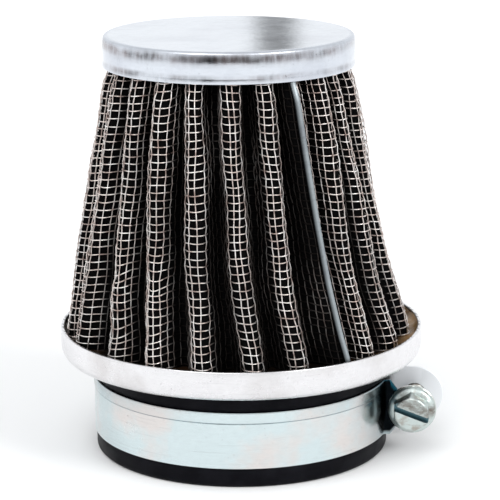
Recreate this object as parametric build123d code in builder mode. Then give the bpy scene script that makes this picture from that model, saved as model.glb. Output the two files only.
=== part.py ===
"""Clamp-on conical air filter with a pleated wire-cloth body.

Units are millimetres. +Z runs up the filter, and the origin is the centre of the
rubber neck's bottom face. The clamp's screw sits close to +X and its head faces -Y.
"""
import os
from math import acos, asin, atan2, cos, radians, sin, sqrt

from build123d import *

os.makedirs("parts", exist_ok=True)

# rubber neck
neck_bore_radius = 30.0
neck_lip_radius = 34.1
neck_groove_radius = 33.6
neck_groove_bottom = 4.25
neck_groove_top = 17.7
neck_flange_radius = 36.5
neck_flange_thickness = 1.8
neck_edge = 0.6

# base pan
sheet = 0.8
pan_radius = 42.0
pan_bottom = 22.15
pan_top = 29.15
pan_corner = 2.8
pan_hole_radius = 33.0
retaining_ring_thickness = 0.8
retaining_ring_inner_radius = 30.5
base_potting_top = 27.5
base_potting_inner_radius = 30.8

# cap, which sits a little off the neck's axis
cap_shift = -2.4
cap_radius = 28.8
cap_top = 96.8
cap_bottom = 89.8
cap_corner = 1.1
top_potting_bottom = 92.6

# pleated layers
pleat_count = 22
front_pleat_angle = 1.6
twist_per_mm = 0.0715
twist_middle = 60.0
crest_radius = 2.6
valley_radius = 0.39
outer_mesh_thickness = 0.72
media_thickness = 0.9
inner_mesh_thickness = 0.5
layer_gap = 0.04
fold_depth = 2.2
seam_pleat = 2
seam_half_angle = 21.0
# height, radius over the crests, radius inside the folds, sideways shift
stations = [
    (base_potting_top, 40.1, 31.0, -0.6),
    (46.0, 36.3, 27.5, -2.0),
    (86.5, 29.2, 20.0, cap_shift),
    (89.6, 27.6, 19.2, cap_shift),
    (top_potting_bottom, 27.5, 19.2, cap_shift),
]

# clamp
clamp_angle = -8.0
band_bottom = 4.45
band_top = 17.5
band_inner_radius = 33.9
band_outer_radius = 34.45
band_bead = 0.25
band_bead_height = 2.3
ear_inner_face = 5.2
ear_thickness = 0.8
screw_distance = 40.5
hinge_offset = 8.0
front_ear_tip_radius = 5.0
front_root_radius = 1.0
rear_root_radius = 2.0
ear_hole_radius = 3.0
washer_radius = 5.6
washer_thickness = 0.8
screw_radius = 2.45
screw_length = 25.0
flange_radius = 5.45
flange_thickness = 1.1
head_across_flats = 8.0
head_height = 3.3
slot_width = 1.2
slot_depth = 1.5
slot_angle = 20.0
nut_across_flats = 8.0
nut_thickness = 4.0
nut_bore_radius = 2.8


def fold(half_pitch, outer, inner, offset):
    """Return one fold's arc and tangent points for a surface inside the crest surface.

    The crest lies on the local X axis. The result is the crest arc's radius and centre,
    the valley arc's radius and centre, and the angle of the flank's tangent points.
    """
    crest_centre = outer - crest_radius
    valley_centre = inner + valley_radius + fold_depth
    crest_arc = crest_radius - offset
    valley_arc = valley_radius + offset
    dx = valley_centre * cos(half_pitch) - crest_centre
    dy = valley_centre * sin(half_pitch)
    lean = acos((crest_arc + valley_arc) / sqrt(dx * dx + dy * dy))
    return crest_centre, crest_arc, valley_centre, valley_arc, atan2(dy, dx) - lean


def polar(radius, angle):
    return Vector(radius * cos(angle), radius * sin(angle))


def layer_path(height, outer, inner, shift, offset):
    """Return the points along one folded surface, from one side of the seam to the other.

    Points come in groups: each arc adds its middle and its end, each flank adds its end.
    """
    half_pitch = radians(180.0 / pleat_count)
    crest_centre, crest_arc, valley_centre, valley_arc, side = fold(
        half_pitch, outer, inner, offset
    )
    seam = radians(seam_half_angle)
    twist = twist_per_mm * (twist_middle - height)
    first = radians(front_pleat_angle - 90.0 + twist + seam_pleat * 360.0 / pleat_count)
    axis_point = Vector(shift, 0)
    points = []
    for k in range(pleat_count + 1):
        crest = first + k * 2 * half_pitch
        centre = axis_point + polar(crest_centre, crest)
        start = -side
        if k == 0:
            start = seam
        end = side
        if k == pleat_count:
            end = -seam
        if k == 0:
            points.append(centre + polar(crest_arc, crest + start))
        else:
            points.append(centre + polar(crest_arc, crest - side))
            start = -side
        points.append(centre + polar(crest_arc, crest + (start + end) / 2))
        points.append(centre + polar(crest_arc, crest + end))
        if k == pleat_count:
            break
        valley = crest + half_pitch
        centre = axis_point + polar(valley_centre, valley)
        points.append(centre + polar(valley_arc, crest + side + radians(180)))
        points.append(centre + polar(valley_arc, valley + radians(180)))
        points.append(centre + polar(valley_arc, 2 * valley - crest - side + radians(180)))
    return points


def layer_outline(station, offset, thickness):
    """Draw one folded layer's closed outline at one height."""
    height, outer, inner, shift = station
    front = layer_path(height, outer, inner, shift, offset)
    back = layer_path(height, outer, inner, shift, offset + thickness)
    draw_path(front)
    draw_path(back)
    Line(front[0], back[0])
    Line(front[-1], back[-1])


def draw_path(points):
    """Join a folded surface's points: arc, flank, arc, flank, to the last arc."""
    i = 0
    while True:
        ThreePointArc(points[i], points[i + 1], points[i + 2])
        if i + 3 >= len(points):
            break
        Line(points[i + 2], points[i + 3])
        i += 3


# ---- rubber neck: sleeve, clamp groove, and a flange that grips the pan's hole
flange_bottom = pan_bottom + sheet
flange_top = flange_bottom + neck_flange_thickness
with BuildPart() as rubber_neck:
    with BuildSketch(Plane.XZ):
        with BuildLine():
            Polyline(
                (neck_bore_radius, 0),
                (neck_lip_radius - neck_edge, 0),
                (neck_lip_radius, neck_edge),
                (neck_lip_radius, neck_groove_bottom),
                (neck_groove_radius, neck_groove_bottom),
                (neck_groove_radius, neck_groove_top),
                (neck_lip_radius, neck_groove_top),
                (neck_lip_radius, pan_bottom),
                (pan_hole_radius, pan_bottom),
                (pan_hole_radius, flange_bottom),
                (neck_flange_radius, flange_bottom),
                (neck_flange_radius, flange_top),
                (neck_bore_radius, flange_top),
                close=True,
            )
        make_face()
    revolve(axis=Axis.Z)
rubber_neck.part.label = "rubber_neck"
export_step(rubber_neck.part, "parts/rubber_neck.step")

# ---- base pan: a shallow pressed dish with an upright wall and a hole for the neck
with BuildPart() as base_pan:
    with BuildSketch(Plane.XZ):
        with BuildLine():
            Line((pan_hole_radius, pan_bottom), (pan_radius - pan_corner, pan_bottom))
            RadiusArc(
                (pan_radius - pan_corner, pan_bottom),
                (pan_radius, pan_bottom + pan_corner),
                -pan_corner,
            )
            Polyline(
                (pan_radius, pan_bottom + pan_corner),
                (pan_radius, pan_top),
                (pan_radius - sheet, pan_top),
                (pan_radius - sheet, pan_bottom + pan_corner),
            )
            RadiusArc(
                (pan_radius - sheet, pan_bottom + pan_corner),
                (pan_radius - pan_corner, pan_bottom + sheet),
                pan_corner - sheet,
            )
            Polyline(
                (pan_radius - pan_corner, pan_bottom + sheet),
                (pan_hole_radius, pan_bottom + sheet),
                (pan_hole_radius, pan_bottom),
            )
        make_face()
    revolve(axis=Axis.Z)
base_pan.part.label = "base_pan"
export_step(base_pan.part, "parts/base_pan.step")

# ---- retaining ring: flat steel ring that holds the neck's flange down
ring_top = flange_top + retaining_ring_thickness
with BuildPart() as retaining_ring:
    with BuildSketch(Plane.XY.offset(flange_top)):
        Circle(neck_flange_radius)
        Circle(retaining_ring_inner_radius, mode=Mode.SUBTRACT)
    extrude(amount=retaining_ring_thickness)
retaining_ring.part.label = "retaining_ring"
export_step(retaining_ring.part, "parts/retaining_ring.step")

# ---- base potting: adhesive poured round the flange, which holds the pleats' lower ends
potting_radius = pan_radius - sheet
with BuildPart() as base_potting:
    with BuildSketch(Plane.XZ):
        with BuildLine():
            Line((neck_flange_radius, flange_bottom), (pan_radius - pan_corner, flange_bottom))
            RadiusArc(
                (pan_radius - pan_corner, flange_bottom),
                (potting_radius, pan_bottom + pan_corner),
                -(pan_corner - sheet),
            )
            Polyline(
                (potting_radius, pan_bottom + pan_corner),
                (potting_radius, base_potting_top),
                (base_potting_inner_radius, base_potting_top),
                (base_potting_inner_radius, ring_top),
                (neck_flange_radius, ring_top),
                (neck_flange_radius, flange_bottom),
            )
        make_face()
    revolve(axis=Axis.Z)
base_potting.part.label = "base_potting"
export_step(base_potting.part, "parts/base_potting.step")

# ---- top cap: pressed cup with a rounded edge and a short rim
cap_frame = Plane(origin=(cap_shift, 0, 0), x_dir=(1, 0, 0), z_dir=(0, -1, 0))
cap_axis = Axis((cap_shift, 0, 0), (0, 0, 1))
with BuildPart() as top_cap:
    with BuildSketch(cap_frame):
        with BuildLine():
            Line((0, cap_top), (cap_radius - cap_corner, cap_top))
            RadiusArc(
                (cap_radius - cap_corner, cap_top),
                (cap_radius, cap_top - cap_corner),
                cap_corner,
            )
            Polyline(
                (cap_radius, cap_top - cap_corner),
                (cap_radius, cap_bottom),
                (cap_radius - sheet, cap_bottom),
                (cap_radius - sheet, cap_top - cap_corner),
            )
            RadiusArc(
                (cap_radius - sheet, cap_top - cap_corner),
                (cap_radius - cap_corner, cap_top - sheet),
                -(cap_corner - sheet),
            )
            Polyline(
                (cap_radius - cap_corner, cap_top - sheet),
                (0, cap_top - sheet),
                (0, cap_top),
            )
        make_face()
    revolve(axis=cap_axis)
top_cap.part.label = "top_cap"
export_step(top_cap.part, "parts/top_cap.step")

# ---- top potting: disc of adhesive under the cap, which holds the pleats' upper ends
with BuildPart() as top_potting:
    with BuildSketch(Plane.XY.offset(top_potting_bottom)):
        with Locations((cap_shift, 0)):
            Circle(cap_radius - sheet)
    extrude(amount=cap_top - sheet - top_potting_bottom)
    top_edge = top_potting.edges().filter_by(GeomType.CIRCLE).sort_by(Axis.Z)[-1]
    fillet(top_edge, radius=cap_corner - sheet)
top_potting.part.label = "top_potting"
export_step(top_potting.part, "parts/top_potting.step")

# ---- outer mesh: the woven wire cloth, folded into pleats
with BuildPart() as outer_mesh:
    for station in stations:
        with BuildSketch(Plane.XY.offset(station[0])):
            with BuildLine():
                layer_outline(station, 0, outer_mesh_thickness)
            make_face()
    loft(ruled=True)
outer_mesh.part.label = "outer_mesh"
export_step(outer_mesh.part, "parts/outer_mesh.step")

# ---- filter media: dark cloth behind the wire, folded with it
media_offset = outer_mesh_thickness + layer_gap
with BuildPart() as filter_media:
    for station in stations:
        with BuildSketch(Plane.XY.offset(station[0])):
            with BuildLine():
                layer_outline(station, media_offset, media_thickness)
            make_face()
    loft(ruled=True)
filter_media.part.label = "filter_media"
export_step(filter_media.part, "parts/filter_media.step")

# ---- inner mesh: a second wire cloth on the clean side of the media
inner_offset = media_offset + media_thickness + layer_gap
with BuildPart() as inner_mesh:
    for station in stations:
        with BuildSketch(Plane.XY.offset(station[0])):
            with BuildLine():
                layer_outline(station, inner_offset, inner_mesh_thickness)
            make_face()
    loft(ruled=True)
inner_mesh.part.label = "inner_mesh"
export_step(inner_mesh.part, "parts/inner_mesh.step")

# ---- seam strip: folded metal strip that joins the cloth's two ends along one crest
strip_half_width = 0.75
strip_root_half_width = 0.5
strip_slot_half_width = 0.18
strip_slot_depth = 0.2
strip_height = 0.25
strip_edge = 0.15
with BuildPart() as seam_strip:
    for height, outer, inner, shift in stations:
        twist = twist_per_mm * (twist_middle - height)
        angle = front_pleat_angle - 90.0 + twist + seam_pleat * 360.0 / pleat_count
        outward = polar(1, radians(angle))
        centre = Vector(shift, 0, height) + outward * outer
        with BuildSketch(Plane(origin=centre, x_dir=outward, z_dir=(0, 0, 1))):
            with BuildLine():
                Polyline(
                    (strip_height, -strip_half_width + strip_edge),
                    (strip_height, strip_half_width - strip_edge),
                    (strip_height - strip_edge, strip_half_width),
                    (-outer_mesh_thickness, strip_root_half_width),
                    (-outer_mesh_thickness, strip_slot_half_width),
                    (-strip_slot_depth, strip_slot_half_width),
                    (-strip_slot_depth, -strip_slot_half_width),
                    (-outer_mesh_thickness, -strip_slot_half_width),
                    (-outer_mesh_thickness, -strip_root_half_width),
                    (strip_height - strip_edge, -strip_half_width),
                    close=True,
                )
            make_face()
    loft(ruled=True)
seam_strip.part.label = "seam_strip"
export_step(seam_strip.part, "parts/seam_strip.step")

# ---- clamp: everything below is drawn in a frame turned so that +X points at the gap
clamp_x = Vector(cos(radians(clamp_angle)), sin(radians(clamp_angle)), 0)
clamp_y = Vector(-sin(radians(clamp_angle)), cos(radians(clamp_angle)), 0)
clamp_plan = Plane(origin=(0, 0, 0), x_dir=clamp_x, z_dir=(0, 0, 1))
band_width = band_top - band_bottom
band_middle = (band_top + band_bottom) / 2
# screw-axis planes: local X runs outward, local Y runs up, the normal runs to the head
front_face = -(ear_inner_face + ear_thickness)


def screw_plane(along):
    """Return the plane across the screw's axis, this far along the clamp's own Y."""
    origin = clamp_y * along + Vector(0, 0, band_middle)
    return Plane(origin=origin, x_dir=clamp_x, z_dir=-clamp_y)


# the halves meet on a radial cut near -X, where the strip bends as the clamp opens
hinge_angle = asin(hinge_offset / (band_outer_radius + band_bead))
cut_end = (-60 * cos(hinge_angle), 60 * sin(hinge_angle))

# plan areas that each half does not cover
not_front = [
    (0, 0), cut_end, (-60, 60), (60, 60), (60, -ear_inner_face), (0, -ear_inner_face)
]
not_rear = [
    (0, 0), cut_end, (-60, -60), (60, -60), (60, ear_inner_face), (0, ear_inner_face)
]

# band's front half, with the tapered ear the screw's head bears on
ear_tip_x = screw_distance + front_ear_tip_radius
inner_root_x = sqrt(band_inner_radius**2 - ear_inner_face**2)
outer_root_x = sqrt(band_outer_radius**2 - front_face**2)
with BuildPart() as clamp_band_front:
    with BuildSketch(clamp_plan.offset(band_bottom)):
        Circle(band_outer_radius)
        with Locations(((ear_tip_x + 30) / 2, front_face + ear_thickness / 2)):
            Rectangle(ear_tip_x - 30, ear_thickness)
        Circle(band_inner_radius, mode=Mode.SUBTRACT)
        with BuildLine():
            Polyline(*not_front, close=True)
        make_face(mode=Mode.SUBTRACT)
        root = vertices().sort_by_distance((outer_root_x, front_face))[0]
        fillet(root, radius=front_root_radius)
        root = vertices().sort_by_distance((inner_root_x, -ear_inner_face))[0]
        fillet(root, radius=front_root_radius + ear_thickness)
    extrude(amount=band_width)
    # stepped upper edge
    with BuildSketch(clamp_plan.offset(band_top - band_bead_height)):
        Circle(band_outer_radius + band_bead)
        Circle(band_outer_radius - 0.1, mode=Mode.SUBTRACT)
        with BuildLine():
            Polyline(*not_front, close=True)
        make_face(mode=Mode.SUBTRACT)
        with Locations((30, (front_face - front_root_radius) / 2)):
            Rectangle(60, front_root_radius - front_face, mode=Mode.SUBTRACT)
    extrude(amount=band_bead_height)
    # ear outline: tapered shoulders and a round tip
    with BuildSketch(screw_plane(front_face - 5)):
        with Locations((screw_distance + 5, 0)):
            Rectangle(20, band_width + 2)
        with BuildLine():
            Polyline(
                (35.4, -8),
                (35.4, -band_width / 2),
                (37.6, -3.6),
                (37.6, 3.6),
                (35.4, band_width / 2),
                (35.4, 8),
                (30, 8),
                (30, -8),
                close=True,
            )
        make_face(mode=Mode.SUBTRACT)
        with Locations((screw_distance, 0)):
            Circle(front_ear_tip_radius, mode=Mode.SUBTRACT)
    extrude(amount=-12, mode=Mode.SUBTRACT)
    with BuildSketch(screw_plane(front_face - 5)):
        with Locations((screw_distance, 0)):
            Circle(ear_hole_radius)
    extrude(amount=-12, mode=Mode.SUBTRACT)
clamp_band_front.part.label = "clamp_band_front"
export_step(clamp_band_front.part, "parts/clamp_band_front.step")

# band's rear half, with the round-ended ear that holds the nut
rear_ear_radius = band_width / 2
rear_tip_x = screw_distance + rear_ear_radius
rear_middle = ear_inner_face + ear_thickness / 2
with BuildPart() as clamp_band_rear:
    with BuildSketch(clamp_plan.offset(band_bottom)):
        Circle(band_outer_radius)
        with Locations(((rear_tip_x + 30) / 2, rear_middle)):
            Rectangle(rear_tip_x - 30, ear_thickness)
        Circle(band_inner_radius, mode=Mode.SUBTRACT)
        with BuildLine():
            Polyline(*not_rear, close=True)
        make_face(mode=Mode.SUBTRACT)
        root = vertices().sort_by_distance((outer_root_x, -front_face))[0]
        fillet(root, radius=rear_root_radius)
        root = vertices().sort_by_distance((inner_root_x, ear_inner_face))[0]
        fillet(root, radius=rear_root_radius + ear_thickness)
    extrude(amount=band_width)
    with BuildSketch(clamp_plan.offset(band_top - band_bead_height)):
        Circle(band_outer_radius + band_bead)
        Circle(band_outer_radius - 0.1, mode=Mode.SUBTRACT)
        with BuildLine():
            Polyline(*not_rear, close=True)
        make_face(mode=Mode.SUBTRACT)
        with Locations((30, (rear_root_radius - front_face) / 2)):
            Rectangle(60, rear_root_radius - front_face, mode=Mode.SUBTRACT)
    extrude(amount=band_bead_height)
    with BuildSketch(screw_plane(0)):
        with Locations((screw_distance + 10, 0)):
            Rectangle(20, band_width + 2)
        with Locations((screw_distance, 0)):
            Circle(rear_ear_radius, mode=Mode.SUBTRACT)
            Circle(ear_hole_radius)
    extrude(amount=-12, mode=Mode.SUBTRACT)
clamp_band_rear.part.label = "clamp_band_rear"
export_step(clamp_band_rear.part, "parts/clamp_band_rear.step")

# flat washer between the front ear and the screw's flange
with BuildPart() as screw_washer:
    with BuildSketch(screw_plane(front_face)):
        with Locations((screw_distance, 0)):
            Circle(washer_radius)
            Circle(ear_hole_radius, mode=Mode.SUBTRACT)
    extrude(amount=washer_thickness)
screw_washer.part.label = "screw_washer"
export_step(screw_washer.part, "parts/screw_washer.step")

# clamp screw: slotted hex head on a round flange, plain shank with a pointed end
head_seat = front_face - washer_thickness
with BuildPart() as clamp_screw:
    with BuildSketch(screw_plane(head_seat)):
        with Locations((screw_distance, 0)):
            Circle(flange_radius)
    extrude(amount=flange_thickness)
    with BuildSketch(screw_plane(head_seat - flange_thickness)):
        with Locations((screw_distance, 0)):
            RegularPolygon(head_across_flats / 2, 6, major_radius=False)
    extrude(amount=head_height)
    head_end = clamp_screw.faces().sort_by(Axis((0, 0, 0), -clamp_y))[-1]
    chamfer(head_end.edges(), length=0.4)
    with BuildSketch(screw_plane(head_seat - flange_thickness - head_height)):
        with Locations(Location((screw_distance, 0, 0), (0, 0, -slot_angle))):
            Rectangle(2 * flange_radius, slot_width)
    extrude(amount=-slot_depth, mode=Mode.SUBTRACT)
    with BuildSketch(screw_plane(head_seat)):
        with Locations((screw_distance, 0)):
            Circle(screw_radius)
    extrude(amount=-screw_length)
    tip = clamp_screw.faces().sort_by(Axis((0, 0, 0), clamp_y))[-1]
    chamfer(tip.edges(), length=0.6)
clamp_screw.part.label = "clamp_screw"
export_step(clamp_screw.part, "parts/clamp_screw.step")

# nut, held on the back of the rear ear
nut_seat = ear_inner_face + ear_thickness
with BuildPart() as clamp_nut:
    with BuildSketch(screw_plane(nut_seat)):
        with Locations((screw_distance, 0)):
            RegularPolygon(nut_across_flats / 2, 6, major_radius=False)
            Circle(nut_bore_radius, mode=Mode.SUBTRACT)
    extrude(amount=-nut_thickness)
clamp_nut.part.label = "clamp_nut"
export_step(clamp_nut.part, "parts/clamp_nut.step")
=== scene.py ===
"""Looks of a clamp-on conical air filter: woven wire pleats, plated metal, rubber neck."""

from math import cos, pi, radians, sin, sqrt

import bmesh
import bpy
import numpy as np
from mathutils import Matrix, Vector


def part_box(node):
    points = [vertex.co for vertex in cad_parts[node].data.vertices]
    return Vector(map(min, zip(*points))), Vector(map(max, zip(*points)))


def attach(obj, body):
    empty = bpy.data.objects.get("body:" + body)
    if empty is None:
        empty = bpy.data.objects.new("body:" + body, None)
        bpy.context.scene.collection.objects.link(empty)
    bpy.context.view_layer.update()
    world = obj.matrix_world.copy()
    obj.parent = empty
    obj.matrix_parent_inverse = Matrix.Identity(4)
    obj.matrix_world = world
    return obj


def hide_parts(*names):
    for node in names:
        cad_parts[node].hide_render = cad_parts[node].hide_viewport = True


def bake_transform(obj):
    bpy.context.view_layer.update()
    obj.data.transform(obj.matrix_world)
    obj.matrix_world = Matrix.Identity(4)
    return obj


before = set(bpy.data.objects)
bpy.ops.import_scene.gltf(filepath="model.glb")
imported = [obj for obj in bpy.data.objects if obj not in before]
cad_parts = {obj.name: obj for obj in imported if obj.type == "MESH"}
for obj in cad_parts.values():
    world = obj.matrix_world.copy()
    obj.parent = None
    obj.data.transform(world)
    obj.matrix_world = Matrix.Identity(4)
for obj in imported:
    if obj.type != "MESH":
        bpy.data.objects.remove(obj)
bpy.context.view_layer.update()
MM = 0.001
rng = np.random.default_rng(7)


# ------------------------------------------------------------------ sizes, in millimetres
def box_mm(node):
    low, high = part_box(node)
    return np.array(low) / MM, np.array(high) / MM


pan_low, pan_high = box_mm("base_pan")
pan_radius = (pan_high[0] - pan_low[0]) / 2
pan_bottom, pan_top = pan_low[2], pan_high[2]
cap_low, cap_high = box_mm("top_cap")
cap_x = (cap_high[0] + cap_low[0]) / 2
cap_radius = (cap_high[0] - cap_low[0]) / 2
cap_bottom, cap_top = cap_low[2], cap_high[2]
potting_top = box_mm("base_potting")[1][2]
band_low, band_high = box_mm("clamp_band_front")
band_bottom, band_top = band_low[2], band_high[2]
band_middle = (band_bottom + band_top) / 2
SHEET = 0.8

PLEATS = 22
CREST_RADIUS = 2.6
VALLEY_RADIUS = 0.39
FOLD_DEPTH = 2.2
WIRE_INSET = 0.36
# height, radius over the crests, radius inside the folds, sideways shift
STATIONS = np.array([
    (27.5, 40.5, 31.0, -0.6),
    (46.0, 36.3, 27.5, -2.0),
    (86.5, 29.2, 20.0, -2.4),
    (89.6, 27.6, 19.2, -2.4),
    (92.6, 27.5, 19.2, -2.4),
])
# pleats that lean out of even spacing: pleat counted from the seam, degrees low and high
LEAN_AT = [-8, -7, -6, -5, -4, -3, -2, -1, 0, 1, 2, 3, 5]
LEAN_LOW = [0, -5, -5.5, -0.6, 0, 0, 0.4, 0, -0.5, -5.5, -5.5, -4, 0]
LEAN_HIGH = [0, 0, 0.5, 2.3, 0, 0, 1.0, -0.2, -2.8, -0.9, -6.5, -6, 0]
# knocks in the cloth: pleat, height, depth
DENTS = [
    (-5.1, 47.0, 0.55), (-5.0, 34.5, 0.55), (-4.0, 46.0, 0.5), (-4.05, 35.0, 0.4),
    (6.2, 58.0, 0.6),
]
SEAM_AZIMUTH = radians(1.6 - 90.0 + 2 * 360.0 / PLEATS)
TWIST_PER_MM = radians(0.0715)
TWIST_MIDDLE = 60.0

CLAMP_ANGLE = radians(-8.0)
BAND_INNER = 33.9
BAND_OUTER = 34.45
BEAD_HEIGHT = 2.3
BEAD_PROUD = 0.25
SCREW_DISTANCE = 40.5
HINGE_OFFSET = 8.0
HINGE_ZONE = 3.0
EAR_INNER = 5.2
EAR_THICK = 0.8
FRONT_TIP = 5.0
TAPER_FROM, TAPER_TO, TAPER_LOW = 35.4, 37.6, 3.6
WASHER_THICK = 0.8
THREAD_PITCH = 0.8
SCREW_LENGTH = 25.0
SLOT_TURN = radians(20.0)


# ------------------------------------------------------------------------ mesh helpers
def make_mesh(name, points, faces, smooth=True, sharp=None):
    """Make an object from points in millimetres and faces of any length."""
    mesh = bpy.data.meshes.new(name)
    mesh.from_pydata([tuple(p) for p in np.asarray(points) * MM], [], faces)
    mesh.validate()
    shell = bmesh.new()
    shell.from_mesh(mesh)
    bmesh.ops.recalc_face_normals(shell, faces=shell.faces)
    shell.to_mesh(mesh)
    shell.free()
    mesh.polygons.foreach_set("use_smooth", [smooth] * len(mesh.polygons))
    if sharp:
        mesh.set_sharp_from_angle(angle=radians(sharp))
    mesh.update()
    piece = bpy.data.objects.new(name, mesh)
    bpy.context.scene.collection.objects.link(piece)
    return piece


def quad_mesh(name, points, quads):
    """Make a smooth object from big arrays of points in millimetres and quads."""
    mesh = bpy.data.meshes.new(name)
    points = np.ascontiguousarray(points * MM, dtype=np.float32)
    quads = np.ascontiguousarray(quads, dtype=np.int32)
    mesh.vertices.add(len(points))
    mesh.vertices.foreach_set("co", points.ravel())
    mesh.loops.add(quads.size)
    mesh.loops.foreach_set("vertex_index", quads.ravel())
    mesh.polygons.add(len(quads))
    mesh.polygons.foreach_set("loop_start", np.arange(0, quads.size, 4, dtype=np.int32))
    mesh.polygons.foreach_set("use_smooth", np.ones(len(quads), dtype=bool))
    mesh.update(calc_edges=True)
    piece = bpy.data.objects.new(name, mesh)
    bpy.context.scene.collection.objects.link(piece)
    return piece


def grid_faces(rows, columns, wrap_rows=False, wrap_columns=False):
    """Quads over a grid of points, row by row."""
    faces = []
    for i in range(rows if wrap_rows else rows - 1):
        for j in range(columns if wrap_columns else columns - 1):
            a = i * columns + j
            b = i * columns + (j + 1) % columns
            c = ((i + 1) % rows) * columns + (j + 1) % columns
            d = ((i + 1) % rows) * columns + j
            faces.append((a, b, c, d))
    return faces


def lathe(name, profile, centre_x=0.0, segments=256, sharp=35, warp=None):
    """Turn a closed outline of (radius, height) points about an upright axis."""
    angles = np.linspace(0, 2 * pi, segments, endpoint=False)
    profile = np.array(profile, float)
    ring = []
    for radius, height in profile:
        x = centre_x + radius * np.cos(angles)
        y = radius * np.sin(angles)
        ring.append(np.stack([x, y, np.full(segments, height)], 1))
    points = np.concatenate(ring)
    if warp:
        points = warp(points)
    count = len(profile)
    faces = grid_faces(count, segments, wrap_rows=True, wrap_columns=True)
    return make_mesh(name, points, faces, sharp=sharp)


def arc(centre, radius, start, end, steps):
    """Points along an arc in the (radius, height) plane, angles in degrees."""
    angles = np.radians(np.linspace(start, end, steps))
    return [(centre[0] + radius * cos(a), centre[1] + radius * sin(a)) for a in angles]


def points_of(piece):
    """A mesh's points in millimetres."""
    return np.array([v.co for v in piece.data.vertices]) / MM


def clamp_to_world(points):
    """Turn points from the clamp's own frame into the object's frame."""
    points = np.asarray(points, float)
    c, s = cos(CLAMP_ANGLE), sin(CLAMP_ANGLE)
    x = points[..., 0] * c - points[..., 1] * s
    y = points[..., 0] * s + points[..., 1] * c
    return np.stack([x, y, points[..., 2]], -1)


def world_to_clamp(points):
    """How far out, across and up points lie in the clamp's own frame, from its middle."""
    c, s = cos(CLAMP_ANGLE), sin(CLAMP_ANGLE)
    out = points[:, 0] * c + points[:, 1] * s
    across = points[:, 1] * c - points[:, 0] * s
    return out, across, points[:, 2] - band_middle


def along_screw(radius, angle, along):
    """A point round the screw's axis; along grows towards the nut."""
    x = SCREW_DISTANCE + radius * np.cos(angle)
    z = band_middle + radius * np.sin(angle)
    return np.stack([x, along, z], -1)


def screw_lathe(name, rings, segments=96, sharp=30, closed=False):
    """Build a piece of rings round the screw's axis: each is (along, radius or function)."""
    angles = np.linspace(0, 2 * pi, segments, endpoint=False)
    rows = []
    for along, radius in rings:
        r = radius(angles) if callable(radius) else np.full(segments, float(radius))
        rows.append(along_screw(r, angles, np.full(segments, float(along))))
    points = clamp_to_world(np.concatenate(rows))
    faces = grid_faces(len(rings), segments, wrap_rows=closed, wrap_columns=True)
    if not closed:
        faces.append(tuple(range(segments - 1, -1, -1)))
        last = (len(rings) - 1) * segments
        faces.append(tuple(range(last, last + segments)))
    return make_mesh(name, points, faces, sharp=sharp)


def cut(piece, *cutters):
    """Subtract closed cutters from a piece, then remove them."""
    for cutter in cutters:
        modifier = piece.modifiers.new("cut", "BOOLEAN")
        modifier.operation = "DIFFERENCE"
        modifier.solver = "EXACT"
        modifier.object = cutter
    bpy.context.view_layer.update()
    graph = bpy.context.evaluated_depsgraph_get()
    mesh = bpy.data.meshes.new_from_object(piece.evaluated_get(graph))
    piece.modifiers.clear()
    piece.data = mesh
    for cutter in cutters:
        bpy.data.objects.remove(cutter)
    mesh.polygons.foreach_set("use_smooth", [True] * len(mesh.polygons))
    mesh.set_sharp_from_angle(angle=radians(35))
    return piece


# --------------------------------------------------------------------- the pleated cloth
def station(z, column):
    """Read one column of the stations at these heights, with its corners eased."""
    z = np.asarray(z, float)
    ease = np.linspace(-2.0, 2.0, 5)
    if column == 3:
        ease = ease * 2
    total = sum(np.interp(z + e, STATIONS[:, 0], STATIONS[:, column]) for e in ease)
    return total / len(ease)


def from_seam(s):
    """Count pleats either way from the seam, so that its left side is negative."""
    return (s + PLEATS / 2) % PLEATS - PLEATS / 2


def wobble(s, z):
    """Slow unevenness of the folded cloth, in millimetres, the same on both seam sides."""
    a = 2 * pi * s / PLEATS
    value = 0.20 * np.sin(5 * a + z / 11.0 + 0.6) + 0.13 * np.sin(13 * a - z / 7.3 + 2.1)
    value += 0.10 * np.sin(29 * a + z / 4.9 + 4.0) + 0.06 * np.sin(47 * a - z / 3.6 + 1.3)
    ends = np.clip((z - 28.0) / 6.0, 0.1, 1) * np.clip((92.0 - z) / 5.0, 0.1, 1)
    for where, height, depth in DENTS:
        away = ((from_seam(s) - where) / 0.17) ** 2 + ((z - height) / 3.2) ** 2
        value = value - depth * np.exp(-away)
    return value * ends


def lean(s, z):
    """How far each pleat leans round from an even spacing, in radians."""
    low = np.interp(from_seam(s), LEAN_AT, LEAN_LOW)
    high = np.interp(from_seam(s), LEAN_AT, LEAN_HIGH)
    along = (z - STATIONS[0, 0]) / (STATIONS[-1, 0] - STATIONS[0, 0])
    around = 2 * pi * s / PLEATS
    slow = 0.5 * np.sin(8 * around - 1.1 + z / 17.0)
    return np.radians(low + (high - low) * along + slow)


def shade(s, z):
    """Painted shade in the folds: 0 on the crests and 1 deep in the valleys."""
    around = 2 * pi * s / PLEATS
    s = from_seam(s)
    crest = np.round(s)
    t = 2 * np.abs(s - crest)
    # crests stay light and flanks are painted dark; the wide left pleats keep a broader light
    # crest, the seam's left flank is painted darkest and the next pleat's left flank lighter
    start, full = np.full_like(t, 0.15), np.full_like(t, 0.56)
    wide = crest <= -4
    start, full = np.where(wide, 0.30, start), np.where(wide, 0.78, full)
    before_seam = (crest == 0) & (s < 0)
    start, full = np.where(before_seam, -0.3, start), np.where(before_seam, 0.05, full)
    after_seam = (crest == 1) & (s < 1)
    start, full = np.where(after_seam, 0.55, start), np.where(after_seam, 1.1, full)
    dark = np.clip((t - start) / (full - start), 0, 1)
    patch = 0.12 * np.sin(5 * around + z / 9.0) + 0.10 * np.sin(17 * around - z / 5.0 + 1.0)
    return np.clip(dark * dark * (3 - 2 * dark) + patch, 0, 1)


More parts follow.
